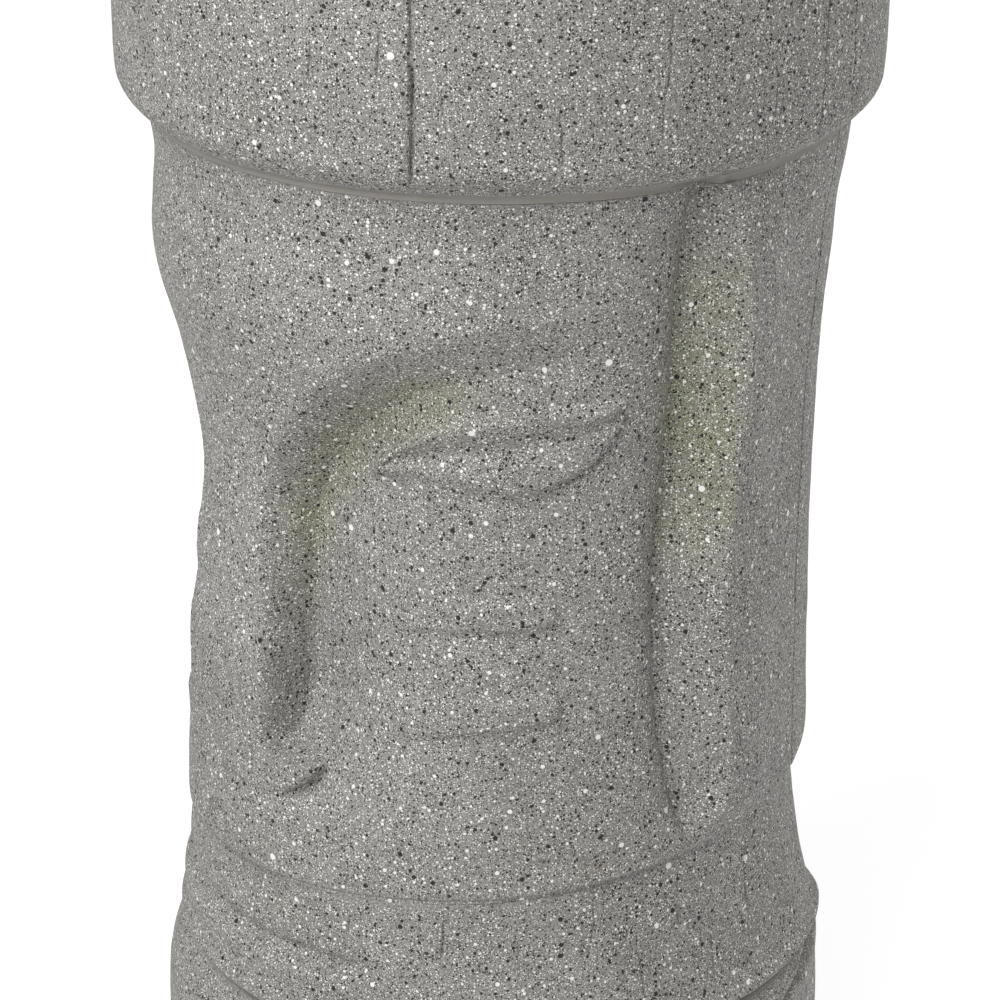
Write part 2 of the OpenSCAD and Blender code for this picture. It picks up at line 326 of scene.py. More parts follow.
def nose_wing(a, drop):
    """1 on the small wing that closes the foot of the nose's side wall, 0 elsewhere."""
    side = smooth(11, 15, a) * (1 - smooth(24.5, 27, a))
    top = 300 + 10 * smooth(13, 18, a)
    return side * smooth(top, top + 6, drop) * (1 - smooth(nose_foot(a) - 0.5, nose_foot(a) + 2.5, drop))


def head_radius(angle, z):
    a = np.abs(angle)
    drop = JOINT_Z - z
    chin = 2.6 * (1 - smooth(10, 28, a)) * smooth(318, 345, drop)
    jaw = curve(JAW_LINE, drop) + chin - 1.8 * smooth(22, 48, a) * smooth(330, 362, drop)
    outer = mix(curve(FRONT_LINE, drop), curve(BACK_LINE, drop), smooth(45, 105, a))
    level_out = smooth(mix(278, 225, smooth(20, 42, a)), 345, drop)
    floor = mix(mix(RECESS_R, 163.0, smooth(17, 64, a)), jaw, level_out)
    skin = mix(outer, floor, recess_mask(a, drop))
    skin = mix(skin, mix(167.8, 164.4, smooth(16, 28, a)), nose_wing(a, drop))
    # under the nose and its wing the skin steps back to the lip
    under = smooth(-0.5, 2.5, drop - nose_foot(a)) * (1 - smooth(23.5, 27, a))
    lip = jaw - mix(0.6, 0.9, smooth(9, 14, a)) * (1 - smooth(0, 14, drop - nose_foot(a)))
    skin = mix(skin, np.minimum(skin, lip), under)
    jaw_side = mix(jaw, curve(BACK_LINE, drop), smooth(70, 120, a))
    skin = mix(skin, jaw_side, smooth(300, 345, drop) * smooth(24, 34, a))
    skin = mix(skin, jaw, smooth(336, 350, drop) * (1 - smooth(24, 34, a)))
    return skin + eye_relief(a, drop) + cheek_relief(a, drop) + ear_relief(a, drop)


def jaw_z(angle, radius):
    return JAW_MID_Z - radius * np.cos(np.radians(angle)) * JAW_SLOPE


def head_foot_z(angle):
    return jaw_z(angle, JAW_SKIN_R) + JAW_BED / 2


def head_skin(angle, z):
    foot = head_foot_z(angle)
    rounding = 0.2 * (1 - smooth(0, 3, z - foot)) ** 2
    return head_radius(angle, z) - rounding + cast_unevenness(angle, z, SKIN_R)


# ---------------------------------------------------------------- crown, band and base

def drum_radius(z, low, high, edge, bulge, power):
    t = np.clip(2 * (z - low) / (high - low) - 1, -1, 1)
    return edge + (bulge - edge) * (1 - np.abs(t) ** power) ** (1 / power)


# Above the bed joint: height and radius of the crown's chamfered lower edge
CROWN_FOOT_LINE = [(0, 178.5), (2, 181.2), (5, 184.6), (9, 188), (14, 190.2), (24, 191.6),
                   (45, 192.4), (60, 193)]


def crown_skin(angle, z):
    r = drum_radius(z, CROWN_FOOT_Z, CROWN_TOP_Z, CROWN_RIM_R, CROWN_R - 0.8, 4.5)
    r = np.minimum(r, curve(CROWN_FOOT_LINE, z - CROWN_FOOT_Z))
    for crack in crown_cracks():
        r = r - crack_depth(angle, z, crack)
    # a shallow flake lost beside the main crack leaves a small upward-facing ledge
    ledge = JOINT_Z + 88.5
    flake = smooth(ledge - 1.0, ledge + 0.8, z) * (1 - smooth(ledge + 5, ledge + 22, z))
    flake = flake * smooth(36, 41, angle) * (1 - smooth(46.5, 47.5, angle))
    return r - 2.6 * flake + cast_unevenness(angle, z, CROWN_R)


# Height, mean radius, and how much further out the front stands than the back
BAND_LINE = [(143, 176), (146, 175.3), (150, 172.6), (155, 170), (168, 167.2), (195, 163.5),
             (223, 161.7), (260, 161.0)]
BAND_LEAN = [(146, 0.0), (155, 1.0), (168, 2.8), (195, 4.1), (223, 5.7), (260, 5.7)]
MOUTH_DROP = 419.0


def band_cracks():
    low = BAND_FOOT_Z + 22
    return [
        (49.5, low + 24, low + 58, 0.6, 165, 2.2, 0.9),
        (33.0, low + 30, low + 52, -0.6, 165, 1.2, 0.8),
        (63.0, low + 14, low + 44, 0.5, 166, 1.0, 0.7),
        (76.0, low + 22, low + 58, 0.8, 165, 1.4, 0.8),
        (86.0, low - 6, low + 40, -0.9, 167, 1.4, 0.8),
        (94.0, low + 26, low + 66, 0.5, 165, 1.8, 0.85),
        (101.0, low - 10, low + 34, 0.8, 168, 1.5, 0.8),
        (113.0, low + 10, low + 64, -0.6, 165, 1.5, 0.8),
        (138.0, low + 4, low + 60, 0.9, 165, 1.8, 0.85),
        (163.0, low + 20, low + 70, -0.7, 165, 1.6, 0.8),
        (-171.0, low, low + 44, 0.8, 167, 1.5, 0.8),
        (-143.0, low + 24, low + 72, 0.6, 165, 1.9, 0.85),
        (-112.0, low + 2, low + 52, -0.8, 166, 1.6, 0.8),
        (-88.0, low + 26, low + 60, 0.5, 165, 1.5, 0.8),
        (-57.0, low + 18, low + 56, -0.6, 165, 2.0, 0.85),
        (-22.0, low + 30, low + 54, 0.5, 165, 1.2, 0.8),
    ]


def band_skin(angle, z):
    foot = z - BAND_FOOT_Z
    drop = JOINT_Z - z
    a = np.abs(angle)
    r = curve(BAND_LINE, z) + curve(BAND_LEAN, z) * np.cos(np.radians(angle))
    across = 1 - smooth(28, 44, a)
    line = MOUTH_DROP + 1.5 * np.cos(np.radians(3 * angle))
    mouth = -5.4 * bell(drop - line, 5.0) + 1.8 * bell(drop - line - 12, 7.0)
    r = r + across * (mouth - 1.6 * bell(drop - line + 29, 8.0))
    r = r - 8.5 * smooth(146, 164, a) * (1 - smooth(150, 178, z))
    r = r - 2.0 * (1 - smooth(0, 3, foot)) ** 2
    head_over = jaw_z(angle, JAW_SKIN_R) - z
    r = r - 0.2 * (1 - smooth(0, 8, head_over))
    for crack in band_cracks():
        r = r - crack_depth(angle, z, crack)
    return r + cast_unevenness(angle, z, SKIN_R)


def base_crevice(angle, z):
    """1 in the slanting crevice that runs down from the base's top edge behind the left ear."""
    ragged = 1.6 * noise(place(angle, 175.0, z), 9.0, 4.0)
    line = BASE_TOP_Z - 1.0 - 0.66 * (146 - angle) + ragged
    wide = mix(2.0, 4.5, smooth(116, 140, angle))
    return bell(z - line, wide) * smooth(112, 124, angle) * (1 - smooth(148, 154, angle))


def base_skin(angle, z):
    lean = 4.0 * np.cos(np.radians(angle + 30)) * smooth(BASE_TOP_Z, BASE_TOP_Z - 30, z)
    r = drum_radius(z, 0.0, BASE_TOP_Z, BASE_RIM_R, BASE_R - 4.3, 3.0)
    return r + lean * smooth(0, 12, z) - 10.0 * base_crevice(angle, z) + cast_unevenness(angle, z, BASE_R)


# ---------------------------------------------------------------- moss and stains

def moss_amount(angle, z):
    """Where damp has left a green bloom: beside the nose, under the brow and along the ear."""
    a = np.abs(angle)
    drop = JOINT_Z - z
    inside = recess_depth(a, drop)
    beside = smooth(0.1, 0.9, inside) * (1 - smooth(1.0, 2.4, inside)) * (1 - smooth(44, 66, a))
    beside = beside * smooth(70, 100, drop) * (1 - smooth(185, 285, drop))
    ear = smooth(84, 91, a) * (1 - smooth(98, 105, a)) * smooth(15, 60, drop)
    ear = ear * (1 - smooth(160, 235, drop))
    patchy = 0.8 + 0.3 * noise(place(angle, SKIN_R, z), 26.0, 8.2)
    far_side = np.where(np.asarray(angle) < 0, 0.7, 1.0)
    return np.clip(np.maximum(beside, 0.9 * ear) * patchy * far_side, 0, 1)


def stain_amount(angle, z):
    """Warm brown dirt that gathers where water lingers."""
    p = place(angle, SKIN_R, z)
    behind = 0.3 * smooth(98, 135, np.abs(angle))
    return np.clip(0.25 + behind + 0.5 * noise(p, 48.0, 2.7) + 0.25 * noise(p, 17.0, 6.6), 0, 1)


# ---------------------------------------------------------------- meshes

def make_mesh(name, points, quads, smooth_quads, caps):
    """A mesh from points in millimetres, quads and flat polygons that close its ends."""
    mesh = bpy.data.meshes.new(name)
    sizes = np.concatenate([np.full(len(quads), 4), [len(c) for c in caps]]).astype(np.int32)
    corners = np.concatenate([quads.ravel(), *caps]).astype(np.int32)
    mesh.vertices.add(len(points))
    mesh.vertices.foreach_set("co", (points * MM).astype(np.float32).ravel())
    mesh.loops.add(len(corners))
    mesh.loops.foreach_set("vertex_index", corners)
    mesh.polygons.add(len(sizes))
    mesh.polygons.foreach_set("loop_start", np.concatenate([[0], np.cumsum(sizes)[:-1]]).astype(np.int32))
    mesh.polygons.foreach_set("use_smooth", np.concatenate([smooth_quads, np.zeros(len(caps), bool)]))
    mesh.update(calc_edges=True)
    mesh.validate()
    piece = bpy.data.objects.new(name, mesh)
    bpy.context.scene.collection.objects.link(piece)
    return piece


class Wall:
    """A cast section as rings of points, in the order skin upwards, then inwards, then down."""

    TINTS = ("bare", "moss", "stain_and_shade")

    def __init__(self, angles, closed=True, looped=True):
        self.angles = np.asarray(angles, float)
        self.closed = closed
        self.looped = looped
        self.rings = []
        self.flat = []
        self.tints = {tint: [] for tint in self.TINTS}

    def ring(self, radius, z, flat=False, bare=0.0, moss=0.0, stain_and_shade=0.3):
        """Adds a ring. flat says that the faces leading to the next ring are a flat rim."""
        zero = 0.0 * self.angles
        self.rings.append(place(self.angles, radius + zero, z + zero))
        self.flat.append(flat)
        for tint, value in zip(self.TINTS, (bare, moss, stain_and_shade)):
            self.tints[tint].append(zero + value)

    def build(self, name):
        columns = len(self.angles)
        rows = len(self.rings)
        here = np.arange(columns if self.closed else columns - 1)
        after = (here + 1) % columns
        lower = np.arange(rows if self.looped else rows - 1)
        quads = [
            np.stack([j * columns + here, j * columns + after,
                      (j + 1) % rows * columns + after, (j + 1) % rows * columns + here], axis=-1)
            for j in lower
        ]
        smooth_quads = ~np.repeat([self.flat[j] for j in lower], len(here))
        caps = []
        if not self.closed:
            side = np.arange(rows) * columns
            caps = [side, (side + columns - 1)[::-1]]
        if not self.looped:
            caps = [np.arange(columns)[::-1], (rows - 1) * columns + np.arange(columns)]
        piece = make_mesh(name, np.concatenate(self.rings), np.concatenate(quads), smooth_quads, caps)
        for tint, values in self.tints.items():
            layer = piece.data.attributes.new(tint, "FLOAT", "POINT")
            layer.data.foreach_set("value", np.concatenate(values).astype(np.float32))
        return piece


def steps(low, high, size):
    """Evenly spaced values from low to high, about size apart."""
    return np.linspace(low, high, int(round((high - low) / size)) + 1)


def round_angles(step, fine_at):
    """Angles once round, at an even step, with finer ones where they are asked for."""
    wrapped = (np.asarray(fine_at) + 180) % 360 - 180
    every = np.concatenate([np.arange(-180, 180, step), wrapped])
    return np.unique(np.round(every, 2))


SKIN_STEP = 1.5
ANGLE_STEP = 0.5
INSIDE_STAIN = 0.45


def inside_roughness(angles, z, radius):
    """The inside of a cast shell is lumpy where the mix was pressed in by hand."""
    p = place(angles, radius, z)
    return 0.9 * noise(p, 34.0, 1.9) + 0.5 * noise(p, 12.0, 7.7)


def inside_ring(wall, radius, z):
    lumps = np.minimum(inside_roughness(wall.angles, z, radius), 0.0)
    wall.ring(radius - lumps, z, bare=1.0, stain_and_shade=INSIDE_STAIN)


NOSE_BACKING = 13.0


def nose_backing(angle, drop):
    """How far the inside swells inwards, to back the recess beside the nose."""
    turned = np.abs((angle + 180) % 360 - 180)
    upright = smooth(60, 100, drop) * (1 - smooth(300, 335, drop))
    return NOSE_BACKING * (1 - smooth(30, 50, turned)) * upright


def head_piece(name, start, stop):
    angles = steps(start, stop, ANGLE_STEP)
    wall = Wall(angles, closed=False)
    foot = head_foot_z(angles)
    for t in steps(0.0, 1.0, SKIN_STEP / (HEAD_TOP_Z - JAW_MID_Z)):
        z = mix(foot, HEAD_TOP_Z, t)
        turned = (angles + 180) % 360 - 180
        radius = head_skin(turned, z)
        bare = np.maximum(0.5 * (1 - smooth(0.5, 3.0, z - foot)), 1 - smooth(0.3, 1.8, HEAD_TOP_Z - z))
        at_foot = jaw_z(angles, radius) + JAW_BED / 2
        level = mix(at_foot, HEAD_TOP_Z, t)
        wall.ring(radius, level, flat=t == 1.0, bare=bare, moss=moss_amount(turned, z),
                  stain_and_shade=stain_amount(turned, z))
    inner_foot = jaw_z(angles, CAVITY_R) + JAW_BED / 2
    for t in steps(1.0, 0.0, -0.04):
        z = mix(inner_foot, HEAD_TOP_Z, t)
        lumps = inside_roughness(angles, z, CAVITY_R) * smooth(0, 0.05, t) * smooth(0, 0.05, 1 - t)
        inside = CAVITY_R - np.minimum(lumps, 0.0) - nose_backing(angles, JOINT_Z - z)
        wall.ring(inside, z, flat=t == 0.0, bare=1.0, stain_and_shade=INSIDE_STAIN)
    return wall.build(name)


def steps_down(high, low, size):
    return steps(low, high, size)[::-1]


def crown_top(radius, angles):
    """The sawn-off log end: a rolled rim, a shallow dish, faint growth rings and drying checks."""
    r = np.asarray(radius) + 0.0 * angles
    x, y = r * np.sin(np.radians(angles)), -r * np.cos(np.radians(angles))
    p = np.stack([x, y, 0 * r], axis=-1)
    warped = r + 2.2 * noise(p, 45.0, 4.4)
    dish = -4.0 * (1 - smooth(112, 150, r))
    rings = 0.45 * np.cos(warped * 2 * math.pi / 15.0) * smooth(6, 20, r) * (1 - smooth(112, 128, r))
    height = dish + rings + 0.5 * noise(p, 30.0, 9.0) + 0.15 * noise(p, 8.0, 2.0)
    for middle, reach, depth, width in CROWN_CHECKS:
        line = middle + 1.6 * noise(np.stack([r * 0 + middle, r * 0, r], axis=-1), 24.0)
        off = np.radians((angles - line + 180) % 360 - 180) * r
        height = height - depth * smooth(reach, reach + 40, r) * np.exp(-np.abs(off / width) ** 1.5)
    return height


CROWN_CHECKS = [(44.2, 60, 3.0, 1.3), (113.2, 90, 2.2, 1.1), (-67.5, 40, 3.2, 1.3),
                (-153.2, 75, 2.6, 1.2), (-12.6, 100, 2.0, 1.1), (169.1, 105, 1.8, 1.0)]
CROWN_CHAMBER_R = 160.0
CROWN_LAND = 45.0
CROWN_ROOF = 30.0
CROWN_RIM_R = 178.5


def build_crown():
    cracks = crown_cracks()
    wall = Wall(round_angles(ANGLE_STEP, crack_columns(cracks)), looped=False)
    angles = wall.angles
    roof_z = CROWN_TOP_Z - CROWN_ROOF
    land_z = CROWN_FOOT_Z + CROWN_LAND
    for radius in steps(1.0, CROWN_CHAMBER_R - 6, 8.0):
        z = roof_z + 0.8 * noise(place(angles, radius, roof_z), 40.0)
        wall.ring(radius, z, bare=1.0, stain_and_shade=INSIDE_STAIN)
    for z in steps_down(roof_z - 4, land_z + 2, 8.0):
        inside_ring(wall, CROWN_CHAMBER_R, z)
    wall.ring(CROWN_CHAMBER_R - 2, land_z, bare=1.0, stain_and_shade=INSIDE_STAIN)
    wall.ring(CAVITY_R + 2, land_z, bare=1.0, stain_and_shade=INSIDE_STAIN)
    for z in steps_down(land_z - 2, CROWN_FOOT_Z + 3, 8.0):
        inside_ring(wall, CAVITY_R, z)
    wall.ring(CAVITY_R, CROWN_FOOT_Z, flat=True, bare=1.0, stain_and_shade=0.6)
    levels = np.concatenate([
        CROWN_FOOT_Z + np.array([0.0, 0.15, 0.4, 0.8, 1.3, 2.0, 2.8, 3.8]),
        steps(CROWN_FOOT_Z + 5, CROWN_TOP_Z - 5, SKIN_STEP),
        CROWN_TOP_Z - np.array([3.8, 2.8, 2.0, 1.3, 0.8, 0.4, 0.15]),
    ])
    for z in levels:
        bare = 1 - smooth(0.4, 2.2, z - CROWN_FOOT_Z)
        wall.ring(crown_skin(angles, z), z, bare=bare, stain_and_shade=stain_amount(angles, z))
    for radius in steps_down(CROWN_RIM_R - 1.0, 1.0, 2.2):
        fade = 1 - smooth(CROWN_RIM_R - 14, CROWN_RIM_R, radius)
        z = CROWN_TOP_Z + crown_top(radius, angles) * fade - 0.3 * (1 - fade)
        wall.ring(radius, np.minimum(z, CROWN_TOP_Z), stain_and_shade=0.3)
    return wall.build("crown_cast")


def build_band():
    cracks = band_cracks()
    wall = Wall(round_angles(ANGLE_STEP, crack_columns(cracks)))
    angles = wall.angles
    top = jaw_z(angles, BAND_TOP_R) - JAW_BED / 2
    for t in steps(0.0, 1.0, SKIN_STEP / (JAW_MID_Z - BAND_FOOT_Z)):
        z = mix(BAND_FOOT_Z, top, t)
        radius = band_skin(angles, z)
        level = mix(BAND_FOOT_Z, jaw_z(angles, radius) - JAW_BED / 2, t)
        bare = np.maximum(1 - smooth(0.5, 3.0, z - BAND_FOOT_Z), 1 - smooth(0.8, 3.5, top - z))
        wall.ring(radius, level, flat=t == 1.0, bare=0.5 * bare, stain_and_shade=stain_amount(angles, z) + 0.15)
    inner_top = jaw_z(angles, CAVITY_R) - JAW_BED / 2
    for t in steps(1.0, 0.0, -0.1):
        z = mix(BAND_FOOT_Z, inner_top, t)
        lumps = inside_roughness(angles, z, CAVITY_R) * smooth(0, 0.1, t) * smooth(0, 0.1, 1 - t)
        wall.ring(CAVITY_R - np.minimum(lumps, 0.0), z, flat=t == 0.0, bare=1.0, stain_and_shade=INSIDE_STAIN)
    return wall.build("neck_band_cast")


BASE_CHAMBER_R = 148.0
BASE_RIM_R = 164.0


def build_base():
    wall = Wall(round_angles(ANGLE_STEP, []))
    angles = wall.angles
    levels = np.concatenate([
        np.array([0.0, 0.15, 0.4, 0.9, 1.6, 2.6, 3.8]),
        steps(5.0, BASE_TOP_Z - 5, SKIN_STEP),
        BASE_TOP_Z - np.array([3.8, 2.6, 1.6, 0.9, 0.4, 0.15, 0.0]),
    ])
    for z in levels:
        bare = 1 - smooth(1.0, 4.0, BASE_TOP_Z - z)
        radius = base_skin(angles, z) if 0 < z < BASE_TOP_Z else BASE_RIM_R
        # In the crevice the stain tint is laid on in full and the droplets are left off: the darker tint
        # there is painted shade.
        in_crevice = base_crevice(angles, z)
        wall.ring(radius, z, flat=z == BASE_TOP_Z, bare=np.maximum(bare, 0.8 * in_crevice),
                  stain_and_shade=stain_amount(angles, z) + 0.1 + in_crevice)
    land_z = BASE_TOP_Z - CROWN_LAND
    wall.ring(CAVITY_R, BASE_TOP_Z, bare=1.0, stain_and_shade=0.5)
    for z in steps_down(BASE_TOP_Z - 3, land_z + 2, 8.0):
        inside_ring(wall, CAVITY_R, z)
    wall.ring(CAVITY_R + 2, land_z, bare=1.0, stain_and_shade=INSIDE_STAIN)
    wall.ring(BASE_CHAMBER_R - 2, land_z, bare=1.0, stain_and_shade=INSIDE_STAIN)
    for z in steps_down(land_z - 2, 4.0, 8.0):
        inside_ring(wall, BASE_CHAMBER_R, z)
    wall.ring(BASE_CHAMBER_R, 0.0, flat=True, bare=1.0, stain_and_shade=0.5)
    return wall.build("base_cast")


def crown_bed_edge(angles):
    return np.minimum(head_radius(angles, HEAD_TOP_Z) + 0.6, CROWN_RIM_R - 0.3)


def jaw_bed_edge(angles):
    below = band_skin(angles, jaw_z(angles, SKIN_R) - JAW_BED / 2)
    above = head_skin(angles, head_foot_z(angles))
    return (below + above) / 2


def base_bed_edge(angles):
    return BASE_RIM_R + 0.0 * angles


def build_bed(name, low, high, outer, droop, bare):
    """A bed of mortar, raked back to a shallow cove between two sections.

    low and high give the bed's faces as functions of angle and radius; outer is its outer radius
    as a function of angle."""
    wall = Wall(round_angles(ANGLE_STEP, []))
    angles = wall.angles
    edge = outer(angles)
    for t in steps(0.0, 1.0, 0.1):
        cove = droop * math.sin(math.pi * t)
        p = place(angles, edge, mix(low(angles, edge), high(angles, edge), t))
        radius = edge - cove + min(0.35, droop) * (noise(p, 9.0, 3.0) + 0.6 * noise(p, 3.5, 6.0))
        wall.ring(radius, mix(low(angles, radius), high(angles, radius), t), flat=t == 1.0,
                  bare=bare, stain_and_shade=0.5)
    for t in steps(1.0, 0.0, -0.5):
        wall.ring(CAVITY_R, mix(low(angles, CAVITY_R), high(angles, CAVITY_R), t), flat=t == 0.0,
                  bare=1.0, stain_and_shade=0.5)
    return wall.build(name)


def level(z):
    return lambda angles, radius: z + 0.0 * angles


def build_seam_beads():
    """One bead of mortar in each upright seam, struck a little below the skin."""
    beads = []
    for side in (1, -1):
        middle = side * (SEAM_ANGLE + SEAM_WIDTH / 2)
        angles = np.linspace(middle - SEAM_WIDTH / 2, middle + SEAM_WIDTH / 2, 7)
        wall = Wall(angles, closed=False)
        across = np.linspace(-1, 1, 7)
        for t in steps(0.0, 1.0, 0.006):
            z = mix(head_foot_z(angles), HEAD_TOP_Z, t)
            skin = head_skin(angles, z) - 0.35 + 0.2 * across ** 2
            lumps = 0.15 * noise(place(angles, SKIN_R, z), 6.0, 1.0)
            foot = jaw_z(angles, skin) + JAW_BED / 2
            wall.ring(skin + lumps, mix(foot, HEAD_TOP_Z, t), flat=t == 1.0, bare=0.2,
                      stain_and_shade=stain_amount(angles, z))
        inner_foot = jaw_z(angles, CAVITY_R) + JAW_BED / 2
        for t in steps(1.0, 0.0, -0.05):
            wall.ring(CAVITY_R, mix(inner_foot, HEAD_TOP_Z, t), flat=t == 0.0, bare=1.0, stain_and_shade=0.5)
        beads.append(wall.build(f"head_seam_bead_{'left' if side > 0 else 'right'}"))
    return beads


# ---------------------------------------------------------------- dowel holes

def pin_points(name, diameter):
    """Centres of a node's four pins, with the heights of their ends."""
    low, high = node_box(name)
    centre = high[0] - diameter / 2
    return [(x, y, low[2], high[2]) for x in (-centre, centre) for y in (-centre, centre)]


def build_pin_cutters():
    """A cylinder round every dowel, wider and longer than the dowel by its play."""
    turn = np.radians(np.arange(PIN_SIDES) * 360 / PIN_SIDES)
    points, quads, caps = [], [], []
    for name, diameter in DOWELS.items():
        reach = (diameter + PIN_PLAY) / 2
        for x, y, low, high in pin_points(name, diameter):
            first = len(points) * PIN_SIDES
            for z in (low - PIN_PLAY / 2, high + PIN_PLAY / 2):
                circle = [x + reach * np.cos(turn), y + reach * np.sin(turn), z + 0 * turn]
                points.append(np.stack(circle, -1))
            here = first + np.arange(PIN_SIDES)
            after = first + (np.arange(PIN_SIDES) + 1) % PIN_SIDES
            quads.append(np.stack([here, after, after + PIN_SIDES, here + PIN_SIDES], -1))
            caps += [here[::-1], here + PIN_SIDES]
    quads = np.concatenate(quads)
    return make_mesh("pin_cutters", np.concatenate(points), quads, np.ones(len(quads), bool), caps)


def drill(piece, cutters):
    """Takes the dowel holes out of a piece."""
    holes = piece.modifiers.new("dowel_holes", "BOOLEAN")
    holes.operation = "DIFFERENCE"
    holes.solver = "MANIFOLD"
    holes.object = cutters
    whole = piece.data
    drilled = piece.evaluated_get(bpy.context.evaluated_depsgraph_get())
    piece.data = bpy.data.meshes.new_from_object(drilled)
    piece.modifiers.clear()
    bpy.data.meshes.remove(whole)


# ---------------------------------------------------------------- materials

class Nodes:
    """Short names for the shader nodes that the materials below are built from."""

    def __init__(self, name):
        self.material = bpy.data.materials.new(name)
        self.material.use_nodes = True
        self.tree = self.material.node_tree
        self.shader = self.tree.nodes["Principled BSDF"]
        coordinates = self.tree.nodes.new("ShaderNodeTexCoord")
        self.object = coordinates.outputs["Object"]

    def add(self, kind, **settings):
        node = self.tree.nodes.new(kind)
        for key, value in settings.items():
            setattr(node, key, value)
        return node

    def feed(self, socket, value):
        if isinstance(value, bpy.types.NodeSocket):
            self.tree.links.new(value, socket)
        else:
            socket.default_value = value

    def math(self, operation, a, b=0.0):
        node = self.add("ShaderNodeMath", operation=operation)
        self.feed(node.inputs[0], a)
        self.feed(node.inputs[1], b)
        return node.outputs[0]

    def vector(self, operation, a, b):
        node = self.add("ShaderNodeVectorMath", operation=operation)
        self.feed(node.inputs[0], a)
        self.feed(node.inputs[1], b)
        return node.outputs[0]

    def stretch(self, scale):
        node = self.add("ShaderNodeMapping")
        self.feed(node.inputs["Vector"], self.object)
        node.inputs["Scale"].default_value = scale
        return node.outputs["Vector"]

    def noise(self, scale, detail=2.0, roughness=0.5, vector=None, color=False):
        node = self.add("ShaderNodeTexNoise")
        self.feed(node.inputs["Vector"], vector or self.object)
        node.inputs["Scale"].default_value = scale
        node.inputs["Detail"].default_value = detail
        node.inputs["Roughness"].default_value = roughness
        return node.outputs["Color" if color else "Fac"]

    def ramp(self, value, start, stop, low=0.0, high=1.0):
        node = self.add("ShaderNodeMapRange", interpolation_type="SMOOTHSTEP")
        self.feed(node.inputs["Value"], value)
        for key, number in zip(("From Min", "From Max", "To Min", "To Max"), (start, stop, low, high)):
            self.feed(node.inputs[key], number)
        return node.outputs["Result"]

    def mix(self, factor, a, b, blend="MIX"):
        node = self.add("ShaderNodeMix", data_type="RGBA", blend_type=blend)
        self.feed(node.inputs["Factor"], factor)
        self.feed(node.inputs["A"], a)
        self.feed(node.inputs["B"], b)
        return node.outputs["Result"]

    def attribute(self, name):
        return self.add("ShaderNodeAttribute", attribute_name=name).outputs["Fac"]

    def specks(self, vector, spacing, smallest, largest, share, seed):
        """Spots scattered about spacing metres apart, with radii between two sizes in metres.

        share is the part of them that shows. Returns how far each point is inside a spot."""
        shifted = self.vector("ADD", vector, (seed, seed * 0.7, seed * 1.3))
        cells = self.add("ShaderNodeTexVoronoi", feature="F1", voronoi_dimensions="3D")
        self.feed(cells.inputs["Vector"], shifted)
        cells.inputs["Scale"].default_value = 1 / spacing
        parts = self.add("ShaderNodeSeparateColor")
        self.feed(parts.inputs["Color"], cells.outputs["Color"])
        there = self.math("LESS_THAN", parts.outputs["Red"], share)
        size = self.math("POWER", parts.outputs["Green"], 1.6)
        radius = self.ramp(size, 0.0, 1.0, smallest / spacing, largest / spacing)
        soft = 0.2 * smallest / spacing
        inside = self.ramp(self.math("SUBTRACT", radius, cells.outputs["Distance"]), -soft, soft)
        return self.math("MULTIPLY", inside, there)

    def ragged(self, scale, reach):
        """Coordinates shaken by a noise, so that round spots read as torn droplets."""
        shake = self.add("ShaderNodeVectorMath", operation="SCALE")
        self.feed(shake.inputs[0], self.noise(scale, 1.0, color=True))
        shake.inputs["Scale"].default_value = reach
        return self.vector("ADD", self.object, shake.outputs[0])


def rgb(red, green, blue):
    return (red, green, blue, 1.0)


CONCRETE_GREY = rgb(0.200, 0.195, 0.184)
CONCRETE_DARK = rgb(0.178, 0.173, 0.163)
SPECK_WHITE = rgb(0.62, 0.61, 0.585)
SPECK_BLACK = rgb(0.016, 0.016, 0.015)
MOSS_TINT = rgb(0.176, 0.186, 0.112)
STAIN_AND_SHADE_TINT = rgb(0.170, 0.150, 0.127)

# Each layer of droplets: black or white, spacing, smallest and largest radius in metres,
# the share that shows, and a seed
DROPLETS = [
    (True, 0.00080, 0.00016, 0.00034, 1.00, 0.31),
    (False, 0.00095, 0.00015, 0.00033, 1.00, 0.83),
    (True, 0.00155, 0.00028, 0.00058, 0.72, 1.57),
    (False, 0.00180, 0.00026, 0.00052, 0.62, 1.93),
    (True, 0.00300, 0.00045, 0.00095, 0.52, 2.29),
    (False, 0.00340, 0.00042, 0.00085, 0.46, 2.61),
    (True, 0.00620, 0.00070, 0.00135, 0.38, 3.07),
    (False, 0.00700, 0.00065, 0.00120, 0.32, 3.49),
    (False, 0.01400, 0.00110, 0.00180, 0.30, 3.83),
]


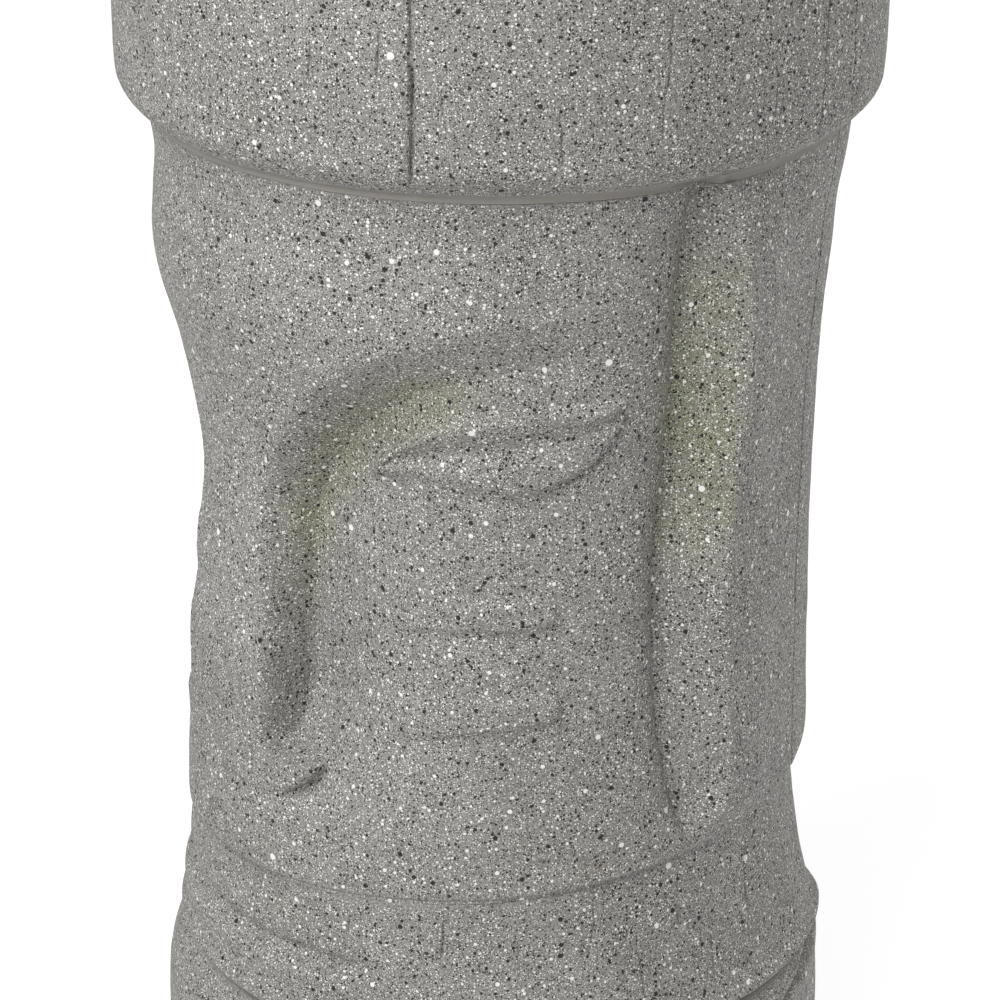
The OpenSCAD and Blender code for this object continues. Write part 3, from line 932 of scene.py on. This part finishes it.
def concrete_material():
    """Cast concrete sprayed with white and black droplets, mossy and stained in its hollows; the stain
    tint also lays painted shade into the crevice on the base.
    """
    n = Nodes("speckled_concrete")
    cloud = n.noise(14.0, 3.0)
    color = n.mix(n.ramp(cloud, 0.35, 0.68), CONCRETE_GREY, CONCRETE_DARK)
    fine = n.noise(900.0, 2.0, 0.6)
    color = n.mix(1.0, color, n.ramp(fine, 0.30, 0.70, 0.80, 1.32), "MULTIPLY")
    moss = n.math("MULTIPLY", n.attribute("moss"), n.ramp(n.noise(120.0, 3.0), 0.25, 0.7, 0.45, 1.0))
    color = n.mix(moss, color, MOSS_TINT)
    # The stain tint, which in the base's crevice is painted shade.
    stain_and_shade = n.math("MULTIPLY", n.attribute("stain_and_shade"), n.ramp(n.noise(45.0, 3.0), 0.35, 0.75, 0.0, 0.6))
    color = n.mix(stain_and_shade, color, STAIN_AND_SHADE_TINT)
    painted = n.math("SUBTRACT", 1.0, n.attribute("bare"))
    round_drops = n.ragged(500.0, 0.0003)
    torn_drops = n.ragged(900.0, 0.0009)
    relief = 0.0
    for dark, spacing, smallest, largest, share, seed in DROPLETS:
        inside = n.specks(torn_drops if dark else round_drops, spacing, smallest, largest, share, seed)
        inside = n.math("MULTIPLY", inside, painted)
        color = n.mix(inside, color, SPECK_BLACK if dark else SPECK_WHITE)
        relief = n.math("ADD", relief, n.math("MULTIPLY", inside, smallest * 60))
    n.feed(n.shader.inputs["Base Color"], color)
    n.shader.inputs["Roughness"].default_value = 0.82
    n.shader.inputs["Specular IOR Level"].default_value = 0.3
    grain = n.math("MULTIPLY", n.noise(1300.0, 2.0, 0.6), 0.35)
    pores = n.math("MULTIPLY", n.ramp(n.noise(420.0, 2.0), 0.3, 0.45, -1.0, 0.0), 0.25)
    height = n.math("ADD", n.math("ADD", grain, pores), relief)
    bump = n.add("ShaderNodeBump")
    n.feed(bump.inputs["Height"], height)
    bump.inputs["Distance"].default_value = 0.00035
    bump.inputs["Strength"].default_value = 0.6
    n.feed(n.shader.inputs["Normal"], bump.outputs["Normal"])
    return n.material


def mortar_material():
    """Plain sandy mortar, warmer than the concrete and without droplets."""
    n = Nodes("joint_mortar")
    color = n.mix(n.noise(60.0, 4.0), rgb(0.222, 0.21, 0.19), rgb(0.265, 0.252, 0.232))
    sand = n.noise(1500.0, 2.0, 0.7)
    color = n.mix(n.ramp(sand, 0.3, 0.75, 0.0, 0.45), color, rgb(0.28, 0.27, 0.25))
    n.feed(n.shader.inputs["Base Color"], color)
    n.shader.inputs["Roughness"].default_value = 0.92
    n.shader.inputs["Specular IOR Level"].default_value = 0.2
    bump = n.add("ShaderNodeBump")
    n.feed(bump.inputs["Height"], n.math("ADD", sand, n.noise(350.0, 2.0)))
    bump.inputs["Distance"].default_value = 0.0005
    bump.inputs["Strength"].default_value = 0.7
    n.feed(n.shader.inputs["Normal"], bump.outputs["Normal"])
    return n.material


def tape_material():
    """Open-weave glass-fibre tape bedded in resin."""
    n = Nodes("glass_fibre_tape")
    strand = 0.0028
    parts = n.add("ShaderNodeSeparateXYZ")
    n.feed(parts.inputs[0], n.object)
    angle = n.math("ARCTAN2", parts.outputs["X"], parts.outputs["Y"])
    across = n.math("MULTIPLY", angle, CAVITY_R * MM / strand * math.pi)
    along = n.math("MULTIPLY", parts.outputs["Z"], math.pi / strand)
    warp = n.math("ABSOLUTE", n.math("SINE", across))
    weft = n.math("ABSOLUTE", n.math("SINE", along))
    weave = n.math("MAXIMUM", n.ramp(warp, 0.35, 0.9), n.ramp(weft, 0.35, 0.9))
    color = n.mix(weave, rgb(0.34, 0.32, 0.24), rgb(0.72, 0.71, 0.64))
    color = n.mix(n.ramp(n.noise(70.0, 3.0), 0.4, 0.7, 0.0, 0.5), color, rgb(0.40, 0.36, 0.26))
    n.feed(n.shader.inputs["Base Color"], color)
    n.feed(n.shader.inputs["Roughness"], n.ramp(n.noise(90.0), 0.3, 0.7, 0.35, 0.65))
    bump = n.add("ShaderNodeBump")
    n.feed(bump.inputs["Height"], weave)
    bump.inputs["Distance"].default_value = 0.0005
    n.feed(n.shader.inputs["Normal"], bump.outputs["Normal"])
    return n.material


def steel_material():
    """Drawn stainless bar with fine lengthwise lines."""
    n = Nodes("dowel_steel")
    lines = n.noise(1.0, 3.0, vector=n.stretch((2600.0, 2600.0, 40.0)))
    n.feed(n.shader.inputs["Base Color"], n.mix(lines, rgb(0.48, 0.48, 0.50), rgb(0.62, 0.62, 0.64)))
    n.shader.inputs["Metallic"].default_value = 1.0
    n.feed(n.shader.inputs["Roughness"], n.ramp(lines, 0.2, 0.8, 0.26, 0.42))
    bump = n.add("ShaderNodeBump")
    n.feed(bump.inputs["Height"], lines)
    bump.inputs["Distance"].default_value = 0.00005
    n.feed(n.shader.inputs["Normal"], bump.outputs["Normal"])
    return n.material


def dress(piece, material):
    piece.data.materials.clear()
    piece.data.materials.append(material)


def finish_piece(piece, material, slot, *nodes):
    drill(piece, PIN_CUTTERS)
    dress(piece, material)
    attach(piece, "root")
    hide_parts(*nodes)


# ---------------------------------------------------------------- the figure

CONCRETE = concrete_material()
MORTAR = mortar_material()
TAPE = tape_material()
STEEL = steel_material()
PIN_CUTTERS = build_pin_cutters()

finish_piece(build_crown(), CONCRETE, "concrete", "crown")
finish_piece(head_piece("face_shell_cast", -SEAM_ANGLE, SEAM_ANGLE), CONCRETE, "concrete", "face_shell")
finish_piece(
    head_piece("back_shell_cast", SEAM_ANGLE + SEAM_WIDTH, 360 - SEAM_ANGLE - SEAM_WIDTH),
    CONCRETE, "concrete", "back_shell",
)
finish_piece(build_band(), CONCRETE, "concrete", "neck_band")
finish_piece(build_base(), CONCRETE, "concrete", "base")

# Each bed: lower and upper face, outer edge, depth of its cove, material, how bare of droplets
BEDS = {
    "crown_joint_mortar": (level(HEAD_TOP_Z), level(CROWN_FOOT_Z), crown_bed_edge, 0.5, MORTAR, 1.0),
    "jaw_joint_mortar": (
        lambda a, r: jaw_z(a, r) - JAW_BED / 2, lambda a, r: jaw_z(a, r) + JAW_BED / 2,
        jaw_bed_edge, 0.1, CONCRETE, 0.2),
    "base_joint_mortar": (level(BASE_TOP_Z), level(BAND_FOOT_Z), base_bed_edge, 1.2, MORTAR, 1.0),
}
for node, (low, high, outer, droop, material, bare) in BEDS.items():
    bed = build_bed(node.replace("mortar", "bed"), low, high, outer, droop, bare)
    finish_piece(bed, material, "mortar", node)
for bead in build_seam_beads():
    finish_piece(bead, CONCRETE, "mortar", "head_seam_mortar")
dress(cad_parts["head_seam_tape"], TAPE)
for node in DOWELS:
    dress(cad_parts[node], STEEL)
bpy.data.objects.remove(PIN_CUTTERS)


# ---------------------------------------------------------------- floor, light and camera

FLOOR_SIZE = 14.0
FLOOR_GREY = rgb(0.25, 0.25, 0.25)
FLOOR_GLOW = 0.82


def add_floor():
    bpy.ops.mesh.primitive_plane_add(size=FLOOR_SIZE, location=(0, 0, 0))
    floor = bpy.context.object
    floor.name = "floor"
    n = Nodes("pale_floor")
    n.shader.inputs["Base Color"].default_value = FLOOR_GREY
    n.shader.inputs["Roughness"].default_value = 0.9
    n.shader.inputs["Emission Color"].default_value = rgb(1, 1, 1)
    n.shader.inputs["Emission Strength"].default_value = FLOOR_GLOW
    dress(floor, n.material)


LIGHT_TARGET_Z = 0.42


def add_light(name, azimuth, elevation, distance, size, watts):
    """A square soft box that faces the middle of the figure. Azimuth 0 is in front of the nose."""
    a, e = math.radians(azimuth), math.radians(elevation)
    target = np.array([0.0, 0.0, LIGHT_TARGET_Z])
    way = np.array([math.sin(a) * math.cos(e), -math.cos(a) * math.cos(e), math.sin(e)])
    data = bpy.data.lights.new(name, "AREA")
    data.size = size
    data.energy = watts
    lamp = bpy.data.objects.new(name, data)
    bpy.context.scene.collection.objects.link(lamp)
    lamp.location = target + distance * way
    lamp.rotation_euler = (math.pi / 2 - e, 0, a)


CAMERA_AZIMUTH = 60.0
CAMERA_REACH = 1.685
CAMERA_RISE = 0.507
CAMERA_PITCH = 23.47
CAMERA_LENS = 126.0


def add_camera():
    a = math.radians(CAMERA_AZIMUTH)
    data = bpy.data.cameras.new("camera")
    data.sensor_width = 36.0
    data.lens = CAMERA_LENS
    camera = bpy.data.objects.new("camera", data)
    bpy.context.scene.collection.objects.link(camera)
    camera.location = (CAMERA_REACH * math.sin(a), -CAMERA_REACH * math.cos(a), JOINT_Z * MM + CAMERA_RISE)
    camera.rotation_euler = (math.radians(90 - CAMERA_PITCH), 0, a)
    bpy.context.scene.camera = camera


def add_world(strength):
    world = bpy.data.worlds.new("studio")
    world.use_nodes = True
    background = world.node_tree.nodes["Background"]
    background.inputs["Color"].default_value = rgb(1, 1, 1)
    background.inputs["Strength"].default_value = strength
    bpy.context.scene.world = world


add_floor()
add_light("key", 24, 45, 3.2, 2.0, 120)
add_light("rim", 172, 22, 3.2, 1.4, 30)
add_world(0.49)
add_camera()
bpy.context.scene.view_settings.view_transform = "Standard"
